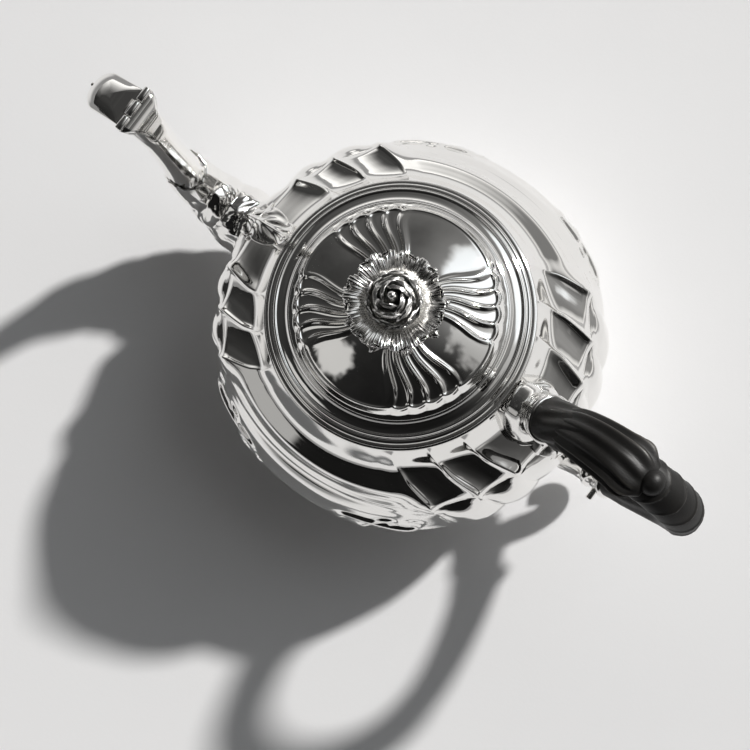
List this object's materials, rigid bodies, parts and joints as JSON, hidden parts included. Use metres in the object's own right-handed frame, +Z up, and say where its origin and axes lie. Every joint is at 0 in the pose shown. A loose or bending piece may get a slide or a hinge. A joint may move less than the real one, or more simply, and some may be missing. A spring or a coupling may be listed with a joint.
{
  "type": "teapot",
  "caption": "Silver teapot with a ridged pear-shaped body, swan-neck spout with hinged flap, lift-off rose-topped lid and carved wooden handle.",
  "frame": {"origin": "on the surface that the teapot stands on, under the middle of its bounding box", "axes": "+X toward the spout, +Z up, Y across the body"},
  "size_m": [0.2424, 0.134, 0.123],
  "materials": {
    "silver": "polished silver",
    "black_wood": "satin ebonised wood"
  },
  "bodies": {
    "pot": {"body_shell": "silver", "foot_ring": "silver", "neck_collar": "silver", "spout": "silver", "spout_calyx": "silver", "spout_leaf": "silver", "flap_hinge_pin": "silver", "handle_wood": "black_wood", "upper_socket": "silver", "lower_socket": "silver", "upper_socket_pin": "silver", "lower_socket_pin": "silver", "upper_socket_leaf": "silver"},
    "lid": {"lid_rim": "silver", "lid_bezel": "silver", "lid_dome": "silver", "finial_leaves": "silver", "finial_outer_petals": "silver", "finial_inner_petals": "silver", "finial_bud": "silver", "finial_stud": "silver", "finial_washer": "silver", "finial_nut": "silver"},
    "flap": {"spout_flap": "silver"}
  },
  "joints": [
    {"name": "lid_lift", "type": "slide", "parent": "pot", "child": "lid", "axis": [0, 0, 1], "range_m": [0, 0.06]},
    {"name": "flap_hinge", "type": "hinge", "parent": "pot", "child": "flap", "pos_m": [0.1011, 0, 0.12161], "axis": [0, -1, 0], "range_deg": [0, 105]}
  ]
}
